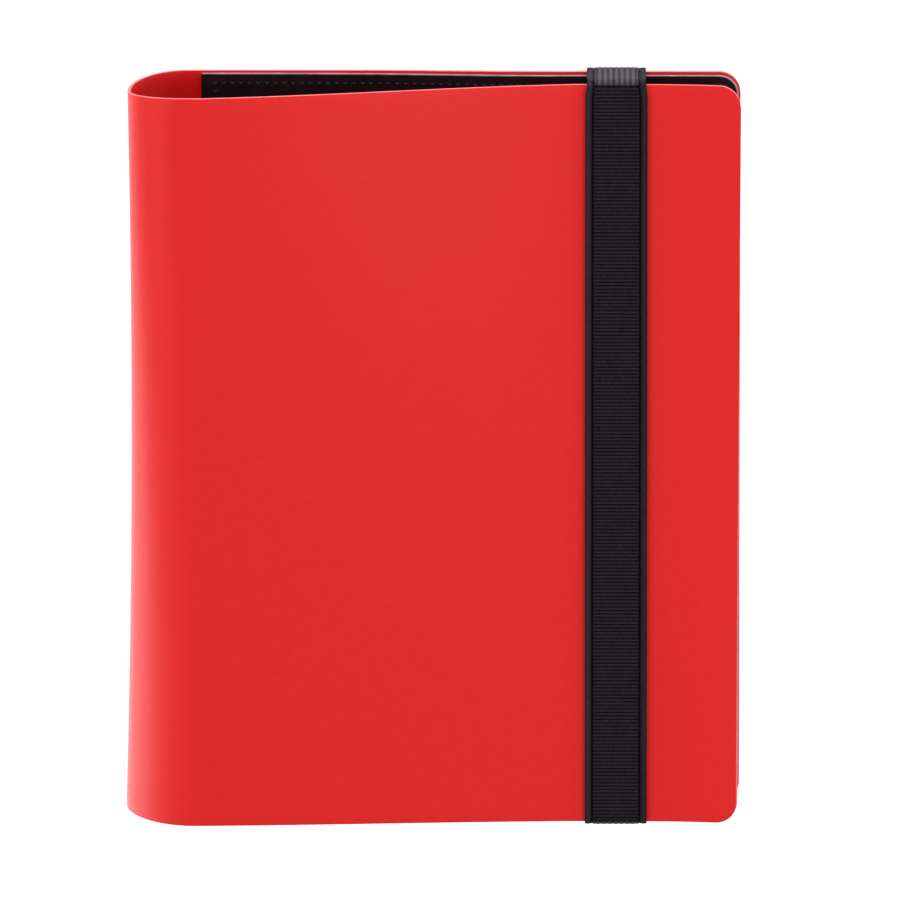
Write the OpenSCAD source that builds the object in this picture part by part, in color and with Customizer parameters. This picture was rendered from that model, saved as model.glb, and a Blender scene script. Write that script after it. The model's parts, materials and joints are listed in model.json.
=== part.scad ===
// Flexible trading card binder: one wrapped cover sheet, a bound block of pocket
// pages and an elastic closing band. It lies on its back cover, front cover up.
// X runs from the spine to the fore edge, Y from the foot to the head of the pages.

/* [Cover] */
// Overall width, from the back of the spine loop to the fore edge
cover_w = 173; // [170:1:183]
// Overall height of the cover sheet, head to foot
cover_h = 216; // [212:1:230]
// Thickness of the plastic cover sheet
sheet_t = 0.9; // [0.7:0.05:1]
// Radius of the two corners at the fore edge
corner_r = 6; // [3:0.5:10]

/* [Spine] */
// Thickness of the closed binder over its spine loop
spine_t = 28; // [26:0.5:30]
// How far the spine loop reaches before the covers run flat
loop_w = 20.5; // [19:0.5:20.5]

/* [Elastic band] */
// Width of the elastic band
band_w = 17.5; // [12:0.5:20]
// Thickness of the elastic band
band_t = 1.3; // [1.2:0.05:1.4]
// Distance from the fore edge to the middle of the band
band_inset = 35; // [34:0.5:40]
// Distance from the cover's head or foot edge to the slot the band enters
slot_inset = 8.8; // [7:0.1:11]

/* [Pages] */
// Thickness of one leaf's backing sheet
backing_t = 0.2; // [0.15:0.01:0.22]
// Thickness of the clear pocket film on each face
film_t = 0.12; // [0.08:0.01:0.13]
// Height of a leaf
leaf_h = 196; // [180:1:200]

/* [Hidden] */
leaf_count = 10;
columns = 2;
rows = 2;

// Places along X
x_spine = -cover_w / 2;
x_fore = cover_w / 2;
x_flat = x_spine + loop_w;          // end of the spine loop
x_band = x_fore - band_inset;
band_margin = 2;                    // flat cover each side of the band
x_press0 = x_band - band_w / 2 - band_margin;
x_press1 = x_band + band_w / 2 + band_margin;
ease_w = 10;                        // level run beside each rise over the band's ends
x_risen = x_press0 - ease_w;

// Heights
z_mid = spine_t / 2;
block_t = 12;                       // both covers and the pages, pressed by the band
press_z = band_t + block_t;         // outside of the front cover under the band
fore_curl = 1.8;                    // how far the free fore edge springs up
back_z = band_t;                    // outside of the back cover over the band's ends
tail_t = 0.9;                       // band pressed flat between cover and liner
liner_t = 0.4;
liner_low = sheet_t + liner_t;      // top of the liner beside the spine loop

// Page block
strip_w = 6.2;
strip_gap = 0.5;
x_strip = x_flat + strip_gap;
hinge_gap = 0.3;
x_hinge = x_strip + strip_w + hinge_gap;  // flex line of every leaf
flex_w = 4.5;                       // soft margin between binding and pockets
fore_margin = 4.5;                  // leaves stop short of the fore edge
leaf_w = x_fore - fore_margin - x_hinge - flex_w;
hinge_z0 = 3.2;                     // lowest and highest flex lines
hinge_z1 = 8.4;
fore_z0 = 4.2;                      // lowest and highest leaf at the fore edge
fore_z1 = 12.4;
strip_top = hinge_z1 + hinge_gap;
weld = 1.2;                         // welded line between two pockets
leaf_edge = 1.5;                    // bare border around the pockets

// Elastic band
edge_gap = 0.3;                     // air between the covers and the band
tail_gap = 0.1;                     // air between the band and its fixed ends
band_bend = 1.9;                    // outer radius where it turns over an edge
slot_gap = 0.4;                     // how much wider the slots are than the band is thick
tail_reach = 4.6;                   // how far the ends run on inside their slots
y_slot = cover_h / 2 - slot_inset;
inside_z = back_z + sheet_t;        // the ends lie on the back cover's inner face

loop_steps = 16;
fall_steps = 22;
curl_steps = 8;
bend_steps = 6;
fine = 96;
lap = 0.01;                         // overlap that joins two flat outlines

function clamp01(v) = min(1, max(0, v));
function smooth(v) = let (u = clamp01(v)) u * u * (3 - 2 * u);
function mix(a, b, v) = a + (b - a) * v;
function fall(v) = mix(clamp01(v), smooth(v), 0.4);

// Outside of the front cover at x: it falls from the spine loop to the band,
// then its free edge springs up a little
function front_z(x) =
    mix(spine_t, press_z, fall((x - x_flat) / (x_press0 - x_flat)))
    + fore_curl * pow(clamp01((x - x_press1) / (x_fore - x_press1)), 2);

// Outside of the back cover at x: it rests on the table near the spine and
// rises by the thickness of the band's ends
rest_w = 45;
function back_rise(x) =
    smooth((x - x_flat - rest_w) / (x_risen - x_flat - rest_w)) * back_z;

// Underside of the inner liner at x: it lifts over the band's ends
function liner_z(x) =
    back_rise(x) + sheet_t + tail_t * smooth((x - x_flat - ease_w) / (x_risen - x_flat - ease_w));

// The spine loop is a quarter ellipse on each side of the middle
function loop_points(side, inset) = [
    for (i = [0 : loop_steps])
        let (a = 90 * i / loop_steps)
        [x_flat - (loop_w - inset) * cos(a), z_mid + side * (z_mid - inset) * sin(a)]
];
flat_x = concat(
    [for (i = [1 : fall_steps]) mix(x_flat, x_press0, i / fall_steps)],
    [for (i = [0 : curl_steps]) mix(x_press1, x_fore, i / curl_steps)]
);
function reversed(list) = [for (i = [len(list) - 1 : -1 : 0]) list[i]];

module along_y(length) {
    rotate([90, 0, 0]) linear_extrude(height = length, center = true) children();
}

// Sheet outline seen from above: square at the spine, rounded at the fore edge
module outline(x0, x1, h, r) {
    linear_extrude(height = 2 * spine_t, center = true) {
        translate([x0, -h / 2]) square([x1 - r - x0, h]);
        translate([x1 - r - lap, -h / 2 + r]) square([r + lap, h - 2 * r]);
        for (s = [-1, 1])
            translate([x1 - r, s * (h / 2 - r)]) circle(r = r, $fn = fine);
    }
}

module back_cover() {
    outer = concat(loop_points(-1, 0), [for (x = flat_x) [x, back_rise(x)]]);
    inner = concat(loop_points(-1, sheet_t), [for (x = flat_x) [x, back_rise(x) + sheet_t]]);
    slot_l = band_w + 1;
    slot_w = band_t + slot_gap;
    color("#d3211f") difference() {
        intersection() {
            along_y(cover_h) polygon(concat(outer, reversed(inner)));
            outline(x_spine - 1, x_fore, cover_h, corner_r);
        }
        for (s = [-1, 1])
            translate([x_band - slot_l / 2, s * y_slot - slot_w / 2, 0])
                cube([slot_l, slot_w, 2 * inside_z]);
    }
}

module front_cover() {
    outer = concat(loop_points(1, 0), [for (x = flat_x) [x, front_z(x)]]);
    inner = concat(loop_points(1, sheet_t), [for (x = flat_x) [x, front_z(x) - sheet_t]]);
    color("#e0302d") intersection() {
        along_y(cover_h) polygon(concat(outer, reversed(inner)));
        outline(x_spine - 1, x_fore, cover_h, corner_r);
    }
}

// Black sheet on the inside of the back cover, which carries the page block
module back_liner() {
    edge = 0.8;
    xs = concat([x_strip], [for (x = flat_x) if (x > x_strip + 1 && x < x_fore - edge - 1) x],
        [x_fore - edge]);
    under = [for (x = xs) [x, liner_z(x)]];
    over = [for (x = xs) [x, liner_z(x) + liner_t]];
    color("#17171c") intersection() {
        along_y(cover_h - 2 * edge) polygon(concat(under, reversed(over)));
        outline(x_strip - 1, x_fore - edge, cover_h - 2 * edge, corner_r - edge);
    }
}

// Welded block of the leaves' bound edges
module binding_strip() {
    color("#101014") translate([x_strip, -leaf_h / 2, liner_low])
        cube([strip_w, leaf_h, strip_top - liner_low]);
}

function hinge_z(k) = mix(hinge_z1, hinge_z0, (k - 1) / (leaf_count - 1));
function fore_leaf_z(k) = mix(fore_z1, fore_z0, (k - 1) / (leaf_count - 1));
function leaf_tilt(k) = atan2(fore_leaf_z(k) - hinge_z(k), flex_w + leaf_w);

// Places its children in leaf k's own frame: flex line on Y, leaf along +X
module in_leaf(k) {
    translate([x_hinge, 0, hinge_z(k)]) rotate([0, -leaf_tilt(k), 0]) children();
}

// Black backing sheet of leaf k, number 1 being next to the front cover
module leaf_backing(k) {
    color("#1b1b20") in_leaf(k)
        translate([flex_w, -leaf_h / 2, -backing_t / 2]) cube([leaf_w, leaf_h, backing_t]);
}

// Clear films of leaf k: side-loading pockets on both faces
module leaf_films(k) {
    pitch_x = (leaf_w - 2 * leaf_edge) / columns;
    pitch_y = (leaf_h - 2 * leaf_edge) / rows;
    color("#9aa0a8", 0.5) in_leaf(k)
        for (i = [0 : columns - 1], j = [0 : rows - 1], z = [backing_t / 2, -backing_t / 2 - film_t])
            translate([
                flex_w + leaf_edge + i * pitch_x + weld / 2,
                -leaf_h / 2 + leaf_edge + j * pitch_y + weld / 2,
                z
            ])
                cube([pitch_x - weld, pitch_y - weld, film_t]);
}

// Soft margins that join every leaf to the binding
module leaf_margins() {
    color("#15151a") for (k = [1 : leaf_count])
        in_leaf(k) translate([-hinge_gap, -leaf_h / 2, -backing_t / 2])
            cube([flex_w + hinge_gap, leaf_h, backing_t]);
}

// Elastic band over the front cover and round its head and foot edges
module elastic_band() {
    half = cover_h / 2 + edge_gap + band_t;
    top = press_z + edge_gap + band_t;
    function corner(s, r) = [
        for (i = [0 : bend_steps])
            let (a = 90 * i / bend_steps)
            [s * (half - band_bend + r * cos(a)), top - band_bend + r * sin(a)]
    ];
    outer = concat([[half, 0]], corner(1, band_bend), reversed(corner(-1, band_bend)), [[-half, 0]]);
    inner_r = band_bend - band_t;
    inner = concat(
        [[-half + band_t, 0]], corner(-1, inner_r), reversed(corner(1, inner_r)), [[half - band_t, 0]]
    );
    color("#1c1b22") translate([x_band, 0, 0]) rotate([90, 0, 90])
        linear_extrude(height = band_w, center = true) polygon(concat(outer, inner));
}

// Fixed end of the band: along the back cover, in through its slot and inside
module band_tail(s) {
    y_edge = cover_h / 2 + edge_gap - tail_gap;
    half = band_t / 2;
    top = inside_z + tail_t;
    color("#1c1b22") translate([x_band, 0, 0]) rotate([90, 0, 90])
        linear_extrude(height = band_w, center = true)
            polygon([
                [s * y_edge, 0], [s * y_edge, back_z],
                [s * (y_slot + half), back_z], [s * (y_slot + half), top],
                [s * (y_slot - tail_reach), top], [s * (y_slot - tail_reach), inside_z],
                [s * (y_slot - half), inside_z], [s * (y_slot - half), 0]
            ]);
}

// Stiff bar on the band's end, too long to pull back through the slot
module band_bar(s) {
    length = band_w + 5;
    width = 4.5;
    y_middle = y_slot - tail_reach - width / 2;
    color("#3a3a40") translate([x_band - length / 2, s * y_middle - width / 2, inside_z])
        cube([length, width, tail_t]);
}

module band_tail_head() { band_tail(1); }
module band_tail_foot() { band_tail(-1); }
module band_bar_head() { band_bar(1); }
module band_bar_foot() { band_bar(-1); }

LEAVES = ["01", "02", "03", "04", "05", "06", "07", "08", "09", "10"];

back_cover();
back_liner();
binding_strip();
leaf_margins();
front_cover();
elastic_band();
band_tail_head();
band_tail_foot();
band_bar_head();
band_bar_foot();
for (k = [1 : leaf_count]) {
    leaf_backing(k);
    leaf_films(k);
}
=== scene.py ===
import json
import math

import bmesh
import bpy
from mathutils import Matrix, Vector
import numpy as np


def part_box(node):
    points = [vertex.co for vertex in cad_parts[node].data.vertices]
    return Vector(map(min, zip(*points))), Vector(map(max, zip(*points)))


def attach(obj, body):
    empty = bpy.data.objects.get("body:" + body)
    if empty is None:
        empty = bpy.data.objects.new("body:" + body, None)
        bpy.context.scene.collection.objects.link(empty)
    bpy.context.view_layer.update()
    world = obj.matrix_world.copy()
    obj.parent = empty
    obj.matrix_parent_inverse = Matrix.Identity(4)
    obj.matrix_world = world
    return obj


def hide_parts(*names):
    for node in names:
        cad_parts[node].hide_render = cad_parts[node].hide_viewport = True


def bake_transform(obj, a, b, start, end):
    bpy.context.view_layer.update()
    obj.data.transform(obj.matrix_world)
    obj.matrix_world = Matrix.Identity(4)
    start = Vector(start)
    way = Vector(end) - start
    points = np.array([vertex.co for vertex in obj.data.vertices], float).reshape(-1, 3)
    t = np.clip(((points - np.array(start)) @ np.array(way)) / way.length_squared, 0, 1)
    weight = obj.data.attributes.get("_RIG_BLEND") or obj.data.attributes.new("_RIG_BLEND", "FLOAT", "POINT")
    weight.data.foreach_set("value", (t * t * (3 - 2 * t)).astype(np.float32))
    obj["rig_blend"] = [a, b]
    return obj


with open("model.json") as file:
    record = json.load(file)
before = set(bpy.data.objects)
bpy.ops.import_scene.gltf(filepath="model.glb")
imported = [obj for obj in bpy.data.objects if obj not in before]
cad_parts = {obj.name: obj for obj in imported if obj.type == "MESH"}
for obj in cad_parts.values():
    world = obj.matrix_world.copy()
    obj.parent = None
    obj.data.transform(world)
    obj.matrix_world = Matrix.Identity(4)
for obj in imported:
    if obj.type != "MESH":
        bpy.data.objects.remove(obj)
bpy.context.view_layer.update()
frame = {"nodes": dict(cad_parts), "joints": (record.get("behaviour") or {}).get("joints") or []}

MM = 0.001

# ---------------------------------------------------------------- sizes from the frame
front_lo, front_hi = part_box("front_cover")
band_lo, band_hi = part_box("elastic_band")
strip_lo, strip_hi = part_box("binding_strip")
liner_lo, liner_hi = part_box("back_liner")
tail_lo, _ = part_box("band_tail_head")
joints = {j["name"]: j for j in frame["joints"]}

X_SPINE, X_FORE = front_lo.x, front_hi.x
HALF_H = front_hi.y
SPINE_T = front_hi.z
Z_MID = joints["front_cover_open"]["pos_m"][2]
X_BAND = (band_lo.x + band_hi.x) / 2
BAND_W = band_hi.x - band_lo.x
BAND_TOP = band_hi.z

# The design's own sizes, which the frame's boxes don't tell
SHEET_T = 0.9 * MM           # the cover sheet
CORNER_R = 6 * MM            # its corners at the fore edge
LOOP_W = 20.5 * MM           # how far the spine loop reaches in from the spine
BAND_T = 1.3 * MM
TAIL_T = 0.9 * MM            # the band's flattened ends
LINER_T = 0.4 * MM
LINER_R = 5.2 * MM           # the liner's fore corners
BLOCK_T = 12 * MM            # what the band presses the closed binder down to
PRESS_Z = BAND_T + BLOCK_T
PRESS_MARGIN = 2 * MM        # how far the pressed stretch reaches past the band
FALL_EASE = 0.4              # the share of the front's fall that is eased, not straight
FORE_CURL = 1.8 * MM         # how far the front springs up again at its fore edge
REST_W = 45 * MM             # how far the back cover lies flat on the table
RUN_OUT = 10 * MM            # where a sheet is level again beside the band, or past the loop
SLOT_INSET = 8.8 * MM        # the band's slots, from the head and the foot
SLOT_HALF_W = 0.85 * MM
SLOT_SLACK = 0.5 * MM        # the slot's length past each side of the band

X_FLAT = X_SPINE + LOOP_W
X_PRESS0 = X_BAND - BAND_W / 2 - PRESS_MARGIN
X_PRESS1 = X_BAND + BAND_W / 2 + PRESS_MARGIN
X_RISEN = X_PRESS0 - RUN_OUT
SLOT_Y = HALF_H - SLOT_INSET
SLOT_HALF_L = BAND_W / 2 + SLOT_SLACK
Z_BETWEEN = 0.6 * Z_MID      # a height between the two covers, all over their flat panels

# The sheet is free round the spine, and twists from foot to head
NOSE = 0.14, 0.76            # height of its outermost line at foot and head, in SPINE_T
BACK_ARC = 8 * MM, 17 * MM   # reach of the loop's lower curve at foot and head
FRONT_ARC = 19.5 * MM, 14 * MM   # and of its upper curve
HEAD_RISE = 0.8 * MM         # the spine stands a little prouder at the head
FOOT_DROP = 3.5 * MM         # and less proud at the foot
FOOT_LIFT = 5.5 * MM         # while the fore side of the front cover lifts there
WAIST = 1.3 * MM             # the spine draws in a little between head and foot,
SPREAD = 0.6 * MM            # stands out at the foot,
LEAN = 0.9 * MM              # and further in at the head
SKEW = 0.0035                # radians that the front comes round askew, down at its fore edge


# ---------------------------------------------------------------- small helpers
def clamp01(v):
    return min(1.0, max(0.0, v))


def smooth(v):
    u = clamp01(v)
    return u * u * (3 - 2 * u)


def mix(a, b, v):
    return a + (b - a) * v


def front_z(x):
    """Outside of the front cover: falls from the spine loop to the band, then springs up."""
    v = (x - X_FLAT) / (X_PRESS0 - X_FLAT)
    fall = mix(clamp01(v), smooth(v), FALL_EASE)
    curl = clamp01((x - X_PRESS1) / (X_FORE - X_PRESS1)) ** 2
    return mix(SPINE_T, PRESS_Z, fall) + FORE_CURL * curl


def foot_lift(v):
    """How far the front cover stands off at v, from -1 at the foot to 1 at the head."""
    return FOOT_LIFT * (1 - v) / 2


def back_rise(x):
    """Outside of the back cover: flat on the table, then up over the band's ends."""
    return smooth((x - X_FLAT - REST_W) / (X_RISEN - X_FLAT - REST_W)) * BAND_T


def liner_z(x):
    """Underside of the liner, which lifts over the band's ends."""
    lift = smooth((x - X_FLAT - RUN_OUT) / (X_RISEN - X_FLAT - RUN_OUT))
    return back_rise(x) + SHEET_T + TAIL_T * lift


def new_object(name, verts, faces, material, smooth_angle=40):
    mesh = bpy.data.meshes.new(name)
    mesh.from_pydata([tuple(v) for v in verts], [], [tuple(f) for f in faces])
    mesh.validate()
    obj = bpy.data.objects.new(name, mesh)
    bpy.context.scene.collection.objects.link(obj)
    mesh.materials.append(material)
    shade(obj, smooth_angle)
    return obj


def shade(obj, angle):
    """Smooth shading, with edges sharper than the angle kept sharp."""
    mesh = obj.data
    bm = bmesh.new()
    bm.from_mesh(mesh)
    for face in bm.faces:
        face.smooth = True
    for edge in bm.edges:
        if len(edge.link_faces) == 2:
            edge.smooth = edge.calc_face_angle(0) < math.radians(angle)
    bm.to_mesh(mesh)
    bm.free()


def apply_modifiers(obj):
    graph = bpy.context.evaluated_depsgraph_get()
    mesh = bpy.data.meshes.new_from_object(obj.evaluated_get(graph))
    obj.modifiers.clear()
    old = obj.data
    obj.data = mesh
    mesh.name = old.name
    bpy.data.meshes.remove(old)


def thicken(obj, thickness, bevel, angle=40, rim_material=0):
    """Gives a single-sided sheet its thickness, half on each side, and rounds its rim."""
    solid = obj.modifiers.new("solid", "SOLIDIFY")
    solid.thickness = thickness
    solid.offset = 0
    solid.use_even_offset = True
    solid.material_offset_rim = rim_material
    apply_modifiers(obj)
    rim = obj.modifiers.new("rim", "BEVEL")
    rim.width = bevel
    rim.segments = 3
    rim.limit_method = "ANGLE"
    rim.angle_limit = math.radians(60)
    apply_modifiers(obj)
    shade(obj, angle)


def spaced(a, b, n):
    """n + 1 even steps from a to b."""
    return [mix(a, b, i / n) for i in range(n + 1)]


def grid_faces(rows, columns, closed=False):
    """Quads between neighbouring rows of vertices. A closed row joins its end to its start."""
    return [
        (i * columns + k, i * columns + (k + 1) % columns,
         (i + 1) * columns + (k + 1) % columns, (i + 1) * columns + k)
        for i in range(rows - 1) for k in range(columns if closed else columns - 1)
    ]


def tube_faces(rows, columns):
    """Faces round a tube whose rows of vertices are closed rings, with a cap on each end."""
    last = (rows - 1) * columns
    caps = [tuple(reversed(range(columns))), tuple(range(last, last + columns))]
    return grid_faces(rows, columns, closed=True) + caps


# ---------------------------------------------------------------- materials
NOISE_LOW, NOISE_HIGH = 0.3, 0.7     # where nearly all of the noise's values lie


class Look:
    """A Principled material, and the nodes that vary it over the surface. The colour it is
    made with shows where the nodes aren't read."""

    def __init__(self, name, colour, roughness, **sockets):
        self.material = bpy.data.materials.new(name)
        self.material.use_nodes = True
        self.nodes = self.material.node_tree.nodes
        self.links = self.material.node_tree.links
        self.inputs = self.nodes["Principled BSDF"].inputs
        self.inputs["Base Color"].default_value = (*colour, 1)
        self.inputs["Roughness"].default_value = roughness
        for socket, value in sockets.items():
            self.inputs[socket.replace("_", " ")].default_value = value

    def noise(self, scale, detail=3, stretch=(1, 1, 1)):
        """3-D noise in the object's own metres."""
        place = self.nodes.new("ShaderNodeTexCoord")
        turn = self.nodes.new("ShaderNodeMapping")
        turn.inputs["Scale"].default_value = stretch
        made = self.nodes.new("ShaderNodeTexNoise")
        made.inputs["Scale"].default_value = scale
        made.inputs["Detail"].default_value = detail
        self.links.new(place.outputs["Object"], turn.inputs["Vector"])
        self.links.new(turn.outputs["Vector"], made.inputs["Vector"])
        return made.outputs["Fac"]

    def map_range(self, value, low, high, to_low=0.0, to_high=1.0):
        """The value, from low to high, brought to the range from to_low to to_high."""
        span = self.nodes.new("ShaderNodeMapRange")
        span.inputs["From Min"].default_value = low
        span.inputs["From Max"].default_value = high
        span.inputs["To Min"].default_value = to_low
        span.inputs["To Max"].default_value = to_high
        self.links.new(value, span.inputs["Value"])
        return span.outputs["Result"]

    def colour_ramp(self, value, stops):
        """The base colour by value, from stops as (place, colour)."""
        ramp = self.nodes.new("ShaderNodeValToRGB")
        first, last = ramp.color_ramp.elements
        for element, (place, colour) in zip((first, last), (stops[0], stops[-1])):
            element.position = place
            element.color = (*colour, 1)
        for place, colour in stops[1:-1]:
            ramp.color_ramp.elements.new(place).color = (*colour, 1)
        self.links.new(value, ramp.inputs["Fac"])
        self.links.new(ramp.outputs["Color"], self.inputs["Base Color"])

    def vary_colour(self, value, low, high):
        self.colour_ramp(value, [(NOISE_LOW, low), (NOISE_HIGH, high)])

    def vary_roughness(self, value, low, high):
        rough = self.map_range(value, NOISE_LOW, NOISE_HIGH, low, high)
        self.links.new(rough, self.inputs["Roughness"])

    def bump(self, height, depth, strength):
        made = self.nodes.new("ShaderNodeBump")
        made.inputs["Strength"].default_value = strength
        made.inputs["Distance"].default_value = depth
        self.links.new(height, made.inputs["Height"])
        self.links.new(made.outputs["Normal"], self.inputs["Normal"])


def cover_material():
    """Matt grained polypropylene, faintly cloudy as the real sheet is."""
    look = Look(
        "cover_red", (0.66, 0.013, 0.012), 0.45, Coat_Weight=0.55, Coat_Roughness=0.22,
        Specular_IOR_Level=0.45)
    look.vary_colour(look.noise(420, 5),
                (0.722, 0.0080, 0.0080), (0.745, 0.0096, 0.0096))
    look.vary_roughness(look.noise(900, 3), 0.46, 0.56)
    look.bump(look.noise(2600, 2), 0.02 * MM, 0.35)
    return look.material


def cut_edge_material():
    """The sheet's cut edge, paler than its faces where the plastic is stressed."""
    look = Look("cover_cut_edge", (0.72, 0.07, 0.07), 0.35)
    look.vary_colour(look.noise(400, 3),
                (0.66, 0.05, 0.05), (0.78, 0.11, 0.11))
    look.bump(look.noise(1500, 2), 0.03 * MM, 0.4)
    return look.material


def liner_material():
    look = Look(
        "liner_black", (0.006, 0.006, 0.009), 0.42, Specular_IOR_Level=0.25)
    look.vary_colour(look.noise(220, 4),
                (0.0030, 0.0042, 0.0070), (0.0070, 0.0085, 0.0130))
    look.vary_roughness(look.noise(700, 2), 0.36, 0.50)
    look.bump(look.noise(1800, 2), 0.03 * MM, 0.4)
    return look.material


def seam_highlight_material():
    """The weld's lips: the same sheet, pressed glossy, and painted a little paler as a highlight."""
    look = Look("liner_weld_highlight", (0.03, 0.03, 0.035), 0.3)
    look.vary_colour(look.noise(900, 3),
                (0.016, 0.016, 0.019), (0.055, 0.054, 0.058))
    look.vary_roughness(look.noise(700, 2), 0.22, 0.4)
    return look.material


def page_material():
    look = Look("page_black", (0.012, 0.012, 0.015), 0.55)
    look.vary_colour(look.noise(300, 4),
                (0.009, 0.009, 0.012), (0.018, 0.018, 0.022))
    look.vary_roughness(look.noise(900, 2), 0.48, 0.64)
    look.bump(look.noise(1500, 1), 0.03 * MM, 0.3)
    return look.material


def film_material():
    """Clear glossy pocket film, slightly wavy."""
    look = Look("pocket_clear", (0.80, 0.82, 0.84), 0.12, Alpha=0.16)
    look.vary_roughness(look.noise(120, 3), 0.08, 0.18)
    look.bump(look.noise(45, 2, (1, 0.5, 1)), 0.4 * MM, 0.35)
    return look.material


def rim_sheen_material():
    """The liner's welded border, where the clear film ends: its pale colour is partly the film's own edge
    and partly a painted highlight for the light it catches.
    """
    look = Look("liner_rim_sheen", (0.34, 0.24, 0.30), 0.3)
    look.vary_colour(look.noise(260, 4),
                (0.26, 0.19, 0.24), (0.46, 0.33, 0.40))
    look.vary_roughness(look.noise(500, 2), 0.25, 0.4)
    look.bump(look.noise(900, 2), 0.03 * MM, 0.4)
    return look.material


def band_material():
    """Black woven elastic: the ribs are in the mesh, which says how far each point stands out,
    and the yarn's fibres are here. The colour follows that height too: painted shade in the
    weave's lows and a painted highlight on its highs."""
    look = Look(
        "elastic_black", (0.012, 0.010, 0.013), 0.75, Specular_IOR_Level=0.18)
    relief_shade = look.nodes.new("ShaderNodeAttribute")
    relief_shade.attribute_name = "relief_shade"
    yarn = look.nodes.new("ShaderNodeMath")
    yarn.operation = "MULTIPLY_ADD"
    yarn.inputs[1].default_value = 0.5
    look.links.new(look.noise(1500, 4, (1, 0.5, 0.5)), yarn.inputs[0])
    look.links.new(relief_shade.outputs["Fac"], yarn.inputs[2])
    # The ramp paints the light: nearly black in the weave's lows as painted shade, lighter on the ribs,
    # lightest as a painted highlight where the band turns over an edge.
    look.colour_ramp(look.map_range(yarn.outputs[0], 0.55, 1.6), [
        (0, (0.0008, 0.0006, 0.0010)),
        (0.667, (0.0255, 0.0205, 0.0270)),
        (1, (0.0700, 0.0620, 0.0740)),
    ])
    look.vary_roughness(look.noise(1200, 2), 0.68, 0.9)
    look.bump(look.noise(3200, 3, (1, 0.4, 0.4)), 0.06 * MM, 0.8)
    return look.material


def bar_material():
    look = Look("bar_grey", (0.05, 0.05, 0.055), 0.5)
    look.vary_colour(look.noise(400, 3),
                (0.042, 0.042, 0.047), (0.060, 0.060, 0.066))
    look.bump(look.noise(1500, 2), 0.04 * MM, 0.4)
    return look.material


def floor_material():
    look = Look(
        "floor_pale", (0.86, 0.86, 0.86), 0.9, Emission_Color=(1, 1, 1, 1),
        Emission_Strength=0.6, Specular_IOR_Level=0.2)
    look.vary_colour(look.noise(4, 2),
                (0.855, 0.855, 0.855), (0.865, 0.865, 0.865))
    return look.material


RED = cover_material()
RED_EDGE = cut_edge_material()
LINER = liner_material()
SEAM_HIGHLIGHT = seam_highlight_material()
PAGE = page_material()
FILM = film_material()
LINER_RIM_SHEEN = rim_sheen_material()
ELASTIC = band_material()
BAR = bar_material()


# ---------------------------------------------------------------- the wrapped cover
ARC_STEPS = 40
END_STEPS = 8


def cover_half_height(x, x_end=X_FORE, half=HALF_H, r=CORNER_R):
    """Half of a sheet's height at x, less where its fore corners are round."""
    over = x - (x_end - r)
    if over <= 0:
        return half
    return half - r + math.sqrt(max(0.0, r * r - over * over))


def corner_steps(x_end, r, n=12):
    """Places along X through a rounded corner, closer together as it turns."""
    return [x_end - r + r * math.sin(math.pi / 2 * i / n) for i in range(1, n + 1)]


def spine_fold(v):
    """The loop at v, from -1 at the foot to 1 at the head: the sheet is free there, and twists."""
    t = smooth((v + 1) / 2)
    return {
        "thick": SPINE_T + mix(-FOOT_DROP, HEAD_RISE, t),
        "nose": mix(*NOSE, t) * SPINE_T,
        "back_arc": mix(*BACK_ARC, t),
        "front_arc": mix(*FRONT_ARC, t),
        "x": X_SPINE - SPREAD + WAIST * (1 - v * v) + LEAN * (1 + v) / 2,
    }


def panel_xs():
    """Places along X where a flat panel of the cover has a row of vertices."""
    xs = spaced(X_FLAT, X_BAND - SLOT_HALF_L, 60)[1:]
    xs += spaced(X_BAND - SLOT_HALF_L, X_BAND + SLOT_HALF_L, 8)[1:]
    xs += spaced(X_BAND + SLOT_HALF_L, X_FORE - CORNER_R, 12)[1:]
    return xs + corner_steps(X_FORE, CORNER_R)


def cover_line(v, xs):
    """Middle of the sheet at v, from the back cover's fore edge round the spine to the
    front's, as (x, z, skew). The skew turns the front in its own plane."""
    half_t = SHEET_T / 2
    fold = spine_fold(v)
    nose, low, high = fold["nose"], half_t, fold["thick"] - half_t
    x0, back_arc, front_arc = fold["x"] + half_t, fold["back_arc"], fold["front_arc"]
    drop = SPINE_T - fold["thick"]

    def front(x):
        share = (front_z(x) - PRESS_Z) / (SPINE_T - PRESS_Z) if x < X_PRESS0 else 0
        return front_z(x) - half_t - drop * share + foot_lift(v) * (1 - share)

    quarter = spaced(0, math.pi / 2, ARC_STEPS)
    back = [(x, back_rise(x) + half_t) for x in reversed(xs)]
    back += [(x, low) for x in spaced(X_FLAT, x0 + back_arc, END_STEPS)[:-1]]
    back += [(x0 + back_arc * (1 - math.sin(a)), nose - (nose - low) * math.cos(a))
             for a in quarter]
    over = [(x0 + front_arc * (1 - math.cos(a)), nose + (high - nose) * math.sin(a))
            for a in quarter[1:]]
    over += [(x, high) for x in spaced(x0 + front_arc, X_FLAT, END_STEPS)[1:]]
    over += [(x, front(x)) for x in xs]
    return ([(x, z, 0) for x, z in back]
            + [(x, z, SKEW * smooth((x - X_SPINE) / LOOP_W)) for x, z in over])


def in_slot(p, q):
    """True for a cell with corners p and q that one of the band's slots leaves open."""
    x, y, z = ((a + b) / 2 for a, b in zip(p, q))
    return (z < Z_BETWEEN and abs(x - X_BAND) < SLOT_HALF_L
            and abs(abs(y) - SLOT_Y) < SLOT_HALF_W)


def bend_only_the_loop(cover):
    """Each flat panel follows its own body all over, and the loop turns through its height."""
    margin = 1.3 * SHEET_T       # the turn starts and ends this far inside the loop
    weights = cover.data.attributes["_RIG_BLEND"].data
    for vertex, weight in zip(cover.data.vertices, weights):
        x, y, z = vertex.co
        if x > X_FLAT:
            weight.value = 1.0 if z > Z_BETWEEN else 0.0
        else:
            thick = spine_fold(y / HALF_H)["thick"]
            weight.value = smooth((z - margin) / (thick - 2 * margin))


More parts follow.
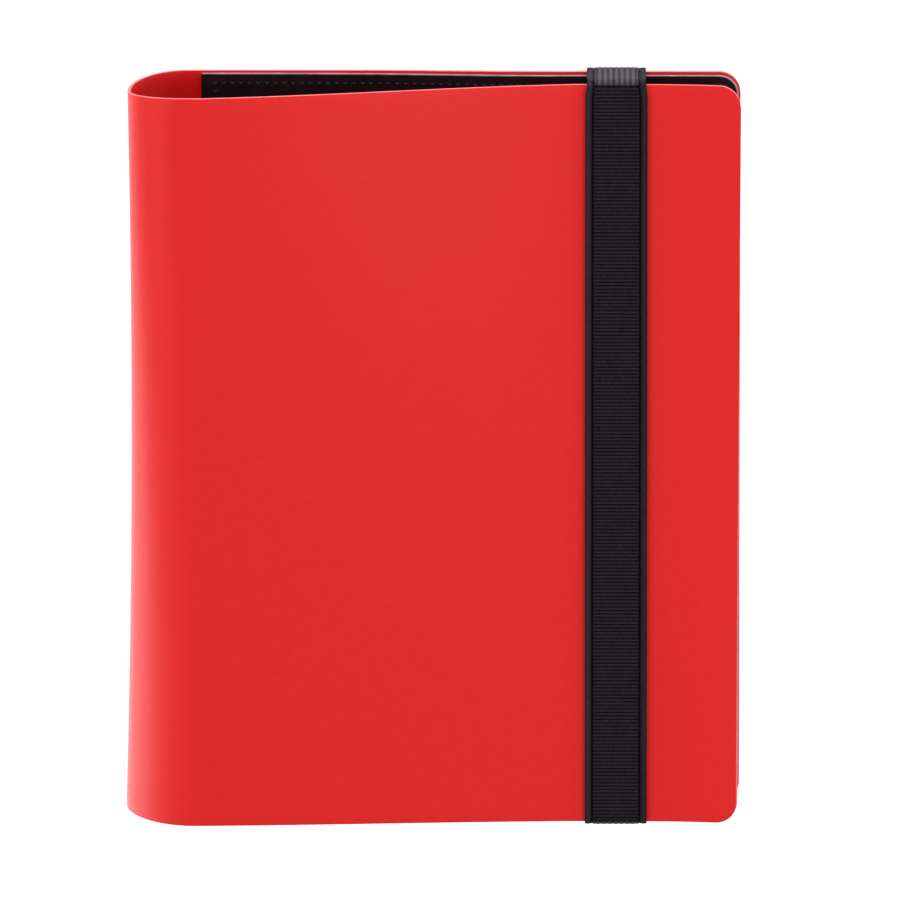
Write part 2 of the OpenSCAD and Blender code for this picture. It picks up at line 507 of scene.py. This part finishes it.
def make_cover():
    inner = spaced(0, SLOT_Y - SLOT_HALF_W, 26)
    outer = spaced(SLOT_Y + SLOT_HALF_W, HALF_H, 3)
    lines = [y / HALF_H for y in inner + outer]
    vs = [-v for v in reversed(lines[1:])] + lines
    xs = panel_xs()
    verts = []
    for v in vs:
        row = cover_line(v, xs)
        for x, z, skew in row:
            y = v * cover_half_height(x)
            verts.append((x + skew * (y - HALF_H), y - skew * (x - X_SPINE), z))
    faces = [face for face in grid_faces(len(vs), len(row))
             if not in_slot(verts[face[0]], verts[face[2]])]
    cover = new_object("cover_sheet", verts, faces, RED)
    cover.data.materials.append(RED_EDGE)
    thicken(cover, SHEET_T, bevel=0.2 * MM, angle=50, rim_material=1)
    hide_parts("front_cover", "back_cover")
    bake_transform(cover, "back", "front", start=(X_SPINE, 0, 0), end=(X_SPINE, 0, SPINE_T))
    bend_only_the_loop(cover)


# ---------------------------------------------------------------- liner and its seam
SEAM_INSET = 2.25 * MM
SEAM_START = 3.8 * MM        # the seam's column next to the spine stands further in
SEAM_PITCH = 2.45 * MM
MARK_W = 1.4 * MM            # one weld mark
MARK_H = 0.26 * MM
MARK_SINK = 0.02 * MM        # how deep its rim is set in the sheet
HIGHLIGHT_FROM = 0.07 * MM         # the height from which its lip is painted pale, as a painted highlight
RIM_R = 0.28 * MM            # the welded rim round the head, fore and foot edges
RIM_INSET = 0.05 * MM
RIM_STEP = 2 * MM


def make_liner():
    """The black sheet that lies on the inside of the back cover."""
    xs = spaced(liner_lo.x, liner_hi.x - LINER_R, 70) + corner_steps(liner_hi.x, LINER_R)
    vs = spaced(-1, 1, 24)
    verts = []
    for x in xs:
        half = cover_half_height(x, liner_hi.x, liner_hi.y, LINER_R)
        verts += [(x, v * half, liner_z(x) + LINER_T / 2) for v in vs]
    liner = new_object("liner_sheet", verts, grid_faces(len(xs), len(vs)), LINER)
    thicken(liner, LINER_T, bevel=0.08 * MM, angle=50)
    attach(liner, "back")
    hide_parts("back_liner")


def liner_outline(inset, start, step, closed=True):
    """Points round the liner from its spine side, evenly spaced, with rounded fore corners.
    An outline that isn't closed leaves out the spine side."""
    x0, x1 = liner_lo.x + start, liner_hi.x - inset
    half, r = liner_hi.y - inset, LINER_R - inset
    arc = [(x1 - r + r * math.sin(a), half - r + r * math.cos(a))
           for a in spaced(0, math.pi / 2, 8)]
    corners = [(x0, half)] + arc + [(x, -y) for x, y in reversed(arc)] + [(x0, -half)]
    if closed:
        corners.append(corners[0])
    points = []
    for (ax, ay), (bx, by) in zip(corners, corners[1:]):
        n = max(1, round(math.hypot(bx - ax, by - ay) / step))
        points += [(mix(ax, bx, i / n), mix(ay, by, i / n)) for i in range(n)]
    return points if closed else points + corners[-1:]


def tube(name, points, radius, material, sides=8):
    """A round tube along points; each ring stands square to the path."""
    points = [Vector(p) for p in points]
    verts = []
    for before, point, after in zip(points[:1] + points, points, points[1:] + points[-1:]):
        along = (after - before).normalized()
        side = along.cross(Vector((0, 0, 1))).normalized()
        up = side.cross(along)
        for k in range(sides):
            a = 2 * math.pi * k / sides
            verts.append(point + radius * (math.cos(a) * side + math.sin(a) * up))
    return new_object(name, verts, tube_faces(len(points), sides), material, smooth_angle=60)


def weld_mark(centre, sides=16):
    """One round weld mark: a shallow dimple with a lip that stands up on its foot side."""
    # From its rim to its middle: the radius and the height as shares of the whole
    profile = [(1.0, 0.0), (0.88, 0.8), (0.74, 1.0), (0.58, 0.5), (0.40, 0.15)]
    verts = []
    for r, h in profile:
        for k in range(sides):
            a = 2 * math.pi * k / sides
            lip = mix(0.15, 1.0, smooth(0.25 - math.sin(a)))
            verts.append(centre + Vector((MARK_W / 2 * r * math.cos(a),
                                          MARK_W / 2 * r * math.sin(a), MARK_H * h * lip)))
    return verts, tube_faces(len(profile), sides)


def make_liner_seam():
    """A weld mark at every pitch along a line inside the liner's border."""
    verts, faces = [], []
    for x, y in liner_outline(SEAM_INSET, SEAM_START, SEAM_PITCH):
        v, f = weld_mark(Vector((x, y, liner_z(x) + LINER_T - MARK_SINK)))
        faces += [tuple(i + len(verts) for i in face) for face in f]
        verts += v
    seam = new_object("liner_seam", verts, faces, LINER, smooth_angle=70)
    seam.data.materials.append(SEAM_HIGHLIGHT)
    # Faces high on a mark's lip take the paler material: a painted highlight on its foot side.
    for face in seam.data.polygons:
        height = face.center.z - liner_z(face.center.x) - LINER_T
        face.material_index = 1 if height > HIGHLIGHT_FROM else 0
    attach(seam, "back")


def make_liner_rim():
    outline = liner_outline(RIM_INSET, RIM_R, RIM_STEP, closed=False)
    rim = tube("liner_rim", [(x, y, liner_z(x) + LINER_T / 2) for x, y in outline], RIM_R, LINER_RIM_SHEEN)
    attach(rim, "back")


# ---------------------------------------------------------------- leaves
LEAF_COUNT = 10
BACKING_T = 0.2 * MM
FILM_T = 0.12 * MM
FILM_GAP = 0.05 * MM         # the air under a film
LEAF_EDGE = 1.5 * MM         # backing that shows round the pockets
WELD = 1.2 * MM              # and between them
POCKET_R = 1.5 * MM
HINGE_GAP = 0.3 * MM         # from the binding to the line where the leaf turns
FLEX_W = 4.5 * MM            # the soft margin that bends
LEVEL = 0.8 * MM             # a leaf that rises less than this, and falls, lies straight


class Leaf:
    """Leaf k's own frame: its flex line, its slope and its size, from the frame."""

    def __init__(self, k):
        self.tag = f"leaf_{k:02d}"
        lo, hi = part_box(self.tag + "_backing")
        x, _, z = joints[self.tag + "_turn"]["pos_m"]
        self.flex = Vector((x, 0, z))
        far = Vector((hi.x, 0, hi.z - BACKING_T / 2))
        slope = far - self.flex
        if hi.z - z < LEVEL and lo.z < z:
            slope = Vector((hi.x - x, 0, 0))
        self.along = slope.normalized()
        self.up = Vector((-self.along.z, 0, self.along.x))
        self.length = slope.length
        self.half = hi.y

    def at(self, u, y, h=0.0):
        """The point u along the leaf, y up the page and h above its middle plane."""
        return self.flex + self.along * u + self.up * h + Vector((0, y, 0))


def rounded_rectangle(x0, x1, y0, y1, r, n=5):
    """Outline of a rectangle with round corners, counter-clockwise."""
    centres = [(x1 - r, y1 - r), (x0 + r, y1 - r), (x0 + r, y0 + r), (x1 - r, y0 + r)]
    outline = []
    for quarter, (x, y) in enumerate(centres):
        turns = spaced(quarter * math.pi / 2, (quarter + 1) * math.pi / 2, n)
        outline += [(x + r * math.cos(a), y + r * math.sin(a)) for a in turns]
    return outline


def make_leaf_sheet(leaf):
    """The black backing, with its soft margin, where the rows are closer together."""
    past_margin = FLEX_W + 1 * MM
    us = spaced(-HINGE_GAP, past_margin, 14)[:-1] + spaced(past_margin, leaf.length, 16)
    ys = spaced(-leaf.half, leaf.half, 20)
    verts = [leaf.at(u, y) for u in us for y in ys]
    sheet = new_object(leaf.tag, verts, grid_faces(len(us), len(ys)), PAGE)
    thicken(sheet, BACKING_T, bevel=0.04 * MM)
    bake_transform(sheet, "back", leaf.tag, start=leaf.at(0, 0), end=leaf.at(FLEX_W, 0))
    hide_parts(leaf.tag + "_backing", "leaf_margins")


def pocket_boxes(leaf):
    """(u0, u1, y0, y1) of the four pockets of a leaf."""
    pitch_u = (leaf.length - FLEX_W - 2 * LEAF_EDGE) / 2
    pitch_y = (2 * leaf.half - 2 * LEAF_EDGE) / 2
    for i in range(2):
        for j in range(2):
            u0 = FLEX_W + LEAF_EDGE + i * pitch_u + WELD / 2
            y0 = -leaf.half + LEAF_EDGE + j * pitch_y + WELD / 2
            yield u0, u0 + pitch_u - WELD, y0, y0 + pitch_y - WELD


def make_leaf_films(leaf):
    """Eight clear pocket films, each a thin closed plate with round corners."""
    verts, faces = [], []
    for u0, u1, y0, y1 in pocket_boxes(leaf):
        outline = rounded_rectangle(u0, u1, y0, y1, POCKET_R)
        for side in (1, -1):
            base = len(verts)
            for h in (BACKING_T / 2 + FILM_GAP, BACKING_T / 2 + FILM_T):
                verts += [leaf.at(u, y, side * h) for u, y in outline]
            plate = [tuple(base + i for i in face) for face in tube_faces(2, len(outline))]
            faces += plate if side > 0 else [tuple(reversed(face)) for face in plate]
    films = new_object(leaf.tag + "_films", verts, faces, FILM)
    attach(films, leaf.tag)
    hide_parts(leaf.tag + "_pockets")


def make_leaves():
    for k in range(1, LEAF_COUNT + 1):
        leaf = Leaf(k)
        make_leaf_sheet(leaf)
        make_leaf_films(leaf)


# ---------------------------------------------------------------- elastic band
RIB_PITCH = 1.035 * MM
WARP_PITCH = 1.15 * MM
RIDGE_PITCH = 1.65 * MM      # the warp's ridges where the band turns over an edge
SLANT_PITCH = 1.1 * MM       # the slanting stitches of the selvedges
SELVEDGE = 1.95 * MM         # their width
RIB_MARGIN = 0.5 * MM        # bare body between a selvedge and the ribs' ends
# A selvedge's height at places in from its edge
SELVEDGE_SHAPE = [
    (0, 0.30), (0.12 * MM, 0.70), (0.45 * MM, 0.95), (0.9 * MM, 1.0),
    (1.35 * MM, 0.93), (1.65 * MM, 0.66), (SELVEDGE, 0.22), (SELVEDGE + 0.25 * MM, 0.2),
]
LOW_WEAVE = 0.45             # the weave's deepest place, as a share of the band's half thickness
FOLD_AT, FOLD_W = 0.3, 0.14  # the fold, painted dark as shade, by how far the band has turned
STAND_OFF = 0.6 * MM         # the band's middle stands this far off the head edge
FOOT_STAND_OFF = 0.95 * MM   # and off the foot edge, where the front reaches out askew
DRAW_IN = 4 * MM             # the last of the covers' height, over which it draws in
DRAWN_T = 0.66               # to this share of its thickness
DRAWN_W = 0.05               # and, at the head, by this share of its width


def rounded_path(corners, radii, step):
    """Points along a polyline whose corners are rounded, with each point's tangent."""
    pieces = []
    points = [Vector(c) for c in corners]
    start = points[0]
    for i in range(1, len(points) - 1):
        a, b, c = points[i - 1], points[i], points[i + 1]
        d0, d1 = (b - a).normalized(), (c - b).normalized()
        turn = math.atan2(d0.x * d1.y - d0.y * d1.x, d0.dot(d1))
        r = radii[i - 1]
        cut = r * math.tan(abs(turn) / 2)
        first, last = b - d0 * cut, b + d1 * cut
        pieces.append(("line", start, first))
        pieces.append(("arc", first, d0, turn, r))
        start = last
    pieces.append(("line", start, points[-1]))
    made = []
    for piece in pieces:
        if piece[0] == "line":
            _, p, q = piece
            length = (q - p).length
            n = max(1, round(length / step))
            made += [(p.lerp(q, i / n), (q - p).normalized()) for i in range(n)]
        else:
            _, p, d, turn, r = piece
            n = max(5, round(abs(turn) * r / step))
            s = math.copysign(1, turn)
            centre = p + Vector((-d.y, d.x)) * (r * s)
            for i in range(n):
                a = turn * i / n
                offset = p - centre
                ca, sa = math.cos(a), math.sin(a)
                made.append((
                    centre + Vector((offset.x * ca - offset.y * sa, offset.x * sa + offset.y * ca)),
                    Vector((d.x * ca - d.y * sa, d.x * sa + d.y * ca))))
    made.append((points[-1], (points[-1] - points[-2]).normalized()))
    return made


def band_section():
    """Places across the band from one edge to the other, as (x, zone, height)."""
    half = BAND_W / 2
    left = [(inset - half, "edge", h) for inset, h in SELVEDGE_SHAPE]
    right = [(half - inset, "edge", h) for inset, h in reversed(SELVEDGE_SHAPE)]
    reach = half - SELVEDGE - RIB_MARGIN
    columns = 2 * round(4 * reach / WARP_PITCH)
    return left + [(x, "rib", 0) for x in spaced(-reach, reach, columns)] + right


def weave_height(x, zone, share, phase, turned):
    """How far the weave stands out at a point, from 0 to 1; the colour follows it, as painted shade in
    the lows and a painted highlight on the highs. turned is 1 where the band runs down over an edge:
    its ribs close up there and the warp shows instead, lighter as a painted highlight, past a fold
    painted dark as shade."""
    if zone == "edge":
        slant = 0.5 + 0.5 * math.cos(2 * math.pi * (phase + abs(x) / SLANT_PITCH))
        depth = 0.34 if x > 0 else 0.1
        return share * (1 - depth + depth * slant)
    odd = math.pi * (math.floor(phase + 0.5) % 2)
    rib = abs(math.cos(math.pi * phase)) ** 0.8
    knot = 0.5 + 0.5 * math.cos(2 * math.pi * x / WARP_PITCH + odd)
    ridge = abs(math.cos(math.pi * x / RIDGE_PITCH)) ** 0.7
    fold = math.exp(-((turned - FOLD_AT) / FOLD_W) ** 2)
    plain = mix(0.12 + rib * (0.66 + 0.12 * knot), 0.6 + 0.75 * ridge, turned)
    return mix(plain, 0.45 * ridge ** 3, fold)


def band_route():
    """The band's path in (y, z), with each point's direction: from its end inside the
    binder out through the head slot, over the head and the front, and back at the foot."""
    z_in = BAND_T + SHEET_T + TAIL_T / 2
    z_out, z_top = BAND_T / 2, BAND_TOP - BAND_T / 2
    y_head, y_foot = HALF_H + STAND_OFF, HALF_H + FOOT_STAND_OFF
    end = [(tail_lo.y, z_in), (SLOT_Y, z_in), (SLOT_Y, z_out)]
    over = [(y_head, z_out), (y_head, z_top), (-y_foot, z_top + foot_lift(-1)), (-y_foot, z_out)]
    corners = end + over + [(-y, z) for y, z in reversed(end)]
    at_slot, under, at_edge = 0.62 * MM, 0.66 * MM, 1.75 * MM
    half_way = [at_slot, at_slot, under, at_edge]
    return rounded_path(corners, half_way + half_way[::-1], RIB_PITCH / 8)


def make_band():
    """The elastic as one woven strip. Each rib and stitch is in the mesh."""
    section = band_section()
    path = band_route()
    verts, relief_shade = [], []
    travel = 0.0
    last = path[0][0]
    for point, tangent in path:
        y, z = point
        travel += (point - last).length
        last = point
        normal = Vector((tangent.y, -tangent.x))
        inside = abs(y) < SLOT_Y + 1 * MM and z < 4 * MM
        turned = smooth(abs(tangent.y) * 1.3)
        drawn = smooth((abs(y) - HALF_H + DRAW_IN) / DRAW_IN)
        thin = TAIL_T / BAND_T if inside else mix(1, DRAWN_T, drawn)
        narrow = DRAWN_W * drawn if y > 0 else 0
        for side in (1, -1):
            for x, zone, share in section[::side]:
                h = weave_height(x, zone, share, travel / RIB_PITCH, turned)
                place = point + normal * (side * mix(LOW_WEAVE, 1, h) * BAND_T / 2 * thin)
                verts.append((X_BAND + x * (1 - narrow), place.x, place.y))
                relief_shade.append(h)
    # The rings run the other way round from a tube's
    faces = [face[:1] + face[:0:-1] for face in tube_faces(len(path), 2 * len(section))]
    band = new_object("elastic_strap", verts, faces, ELASTIC, smooth_angle=80)
    # The weave's height is kept for the colour: painted shade in its lows, painted highlight on its highs.
    band.data.attributes.new("relief_shade", "FLOAT", "POINT").data.foreach_set("value", relief_shade)
    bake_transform(band, "back", "band", start=(X_BAND, 0, 3.4 * MM), end=(X_BAND, 0, 12 * MM))
    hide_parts("elastic_band", "band_tail_head", "band_tail_foot")


# ---------------------------------------------------------------- binding and end bars
def binding_profile():
    """The block's outline in (x, z): a groove between the tabs on its spine side, and a
    weld line pressed in its top."""
    groove, weld_depth, step_down = 0.12 * MM, 0.5 * MM, 0.1 * MM
    tabs = 2 * LEAF_COUNT
    tab_t = (strip_hi.z - strip_lo.z) / tabs
    profile = [(strip_lo.x + groove, strip_lo.z)]
    for i in range(tabs):
        z = strip_lo.z + i * tab_t
        profile += [(strip_lo.x, z + 0.3 * tab_t), (strip_lo.x, z + 0.75 * tab_t),
                    (strip_lo.x + groove, z + tab_t)]
    profile += [(mix(strip_lo.x, strip_hi.x, t), strip_hi.z - weld_depth * math.sin(math.pi * t))
                for t in (0.2, 0.35, 0.5, 0.65, 0.8)]
    return profile + [(strip_hi.x, strip_hi.z - step_down), (strip_hi.x, strip_lo.z)]


def make_binding():
    """The welded block of bound edges."""
    profile = binding_profile()
    ys = spaced(strip_lo.y, strip_hi.y, 40)
    verts = [(x, y, z) for y in ys for x, z in profile]
    faces = tube_faces(len(ys), len(profile))
    block = new_object("binding_block", verts, faces, PAGE, smooth_angle=35)
    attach(block, "back")
    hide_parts("binding_strip")


def finish_bars():
    for name in ("band_bar_head", "band_bar_foot"):
        bar = frame["nodes"][name]
        bar.data.materials.clear()
        bar.data.materials.append(BAR)


# ---------------------------------------------------------------- stage, light, camera
def make_stage():
    size = 30.0
    floor = new_object(
        "floor", [(-size, -size, 0), (size, -size, 0), (size, size, 0), (-size, size, 0)],
        [(0, 1, 2, 3)], floor_material())
    floor.location.z = -0.2 * MM


def area_light(name, place, target, size, power):
    data = bpy.data.lights.new(name, "AREA")
    data.shape = "RECTANGLE"
    data.size, data.size_y = size
    data.energy = power
    lamp = bpy.data.objects.new(name, data)
    lamp.location = place
    lamp.rotation_euler = (Vector(target) - Vector(place)).to_track_quat("-Z", "Y").to_euler()
    lamp.visible_glossy = False
    bpy.context.scene.collection.objects.link(lamp)


def make_light():
    world = bpy.data.worlds.new("studio")
    world.use_nodes = True
    bpy.context.scene.world = world
    nodes, links = world.node_tree.nodes, world.node_tree.links
    background = nodes["Background"]
    place = nodes.new("ShaderNodeTexCoord")
    split = nodes.new("ShaderNodeSeparateXYZ")
    ramp = nodes.new("ShaderNodeValToRGB")
    ramp.color_ramp.elements[0].position = 0.15
    ramp.color_ramp.elements[0].color = (1.0, 1.0, 1.0, 1)
    ramp.color_ramp.elements[1].position = 0.85
    ramp.color_ramp.elements[1].color = (0.30, 0.30, 0.30, 1)
    links.new(place.outputs["Generated"], split.inputs["Vector"])
    links.new(split.outputs["Z"], ramp.inputs["Fac"])
    links.new(ramp.outputs["Color"], background.inputs["Color"])
    background.inputs["Strength"].default_value = 0.75
    area_light("spine", (-1.2, 0, 0.07), (0, 0, 0.02), (2.2, 0.25), 6)
    area_light("head", (0, 1.2, 0.16), (0, 0, 0), (1.6, 0.4), 14)
    area_light("left", (-0.45, 0, 0.75), (0, 0, 0), (0.5, 0.4), 2.6)
    area_light("right", (0.45, 0, 0.75), (0, 0, 0), (0.5, 0.4), 2.6)
    bpy.context.scene.view_settings.view_transform = "Standard"


VIEW_TILT = 17.2               # degrees from square on, towards the head of the pages
VIEW_WIDTH = 254.2 * MM      # what the picture spans at the object
VIEW_SHIFT = (4.6 * MM, 0.1 * MM)


def make_camera():
    data = bpy.data.cameras.new("camera")
    data.lens = 1500
    camera = bpy.data.objects.new("camera", data)
    bpy.context.scene.collection.objects.link(camera)
    t = math.radians(VIEW_TILT)
    right = Vector((1, 0, 0))
    up = Vector((0, math.cos(t), -math.sin(t)))
    back = right.cross(up)
    centre = Vector((0, 0, SPINE_T / 2)) + right * VIEW_SHIFT[0] + up * VIEW_SHIFT[1]
    distance = VIEW_WIDTH * data.lens / data.sensor_width
    camera.location = centre + back * distance
    camera.rotation_mode = "QUATERNION"
    camera.rotation_quaternion = Matrix((right, up, back)).transposed().to_quaternion()
    data.clip_start, data.clip_end = 0.1, 100
    bpy.context.scene.camera = camera


make_camera()
make_light()
make_stage()
make_cover()
make_liner()
make_liner_seam()
make_liner_rim()
make_binding()
make_leaves()
make_band()
finish_bars()
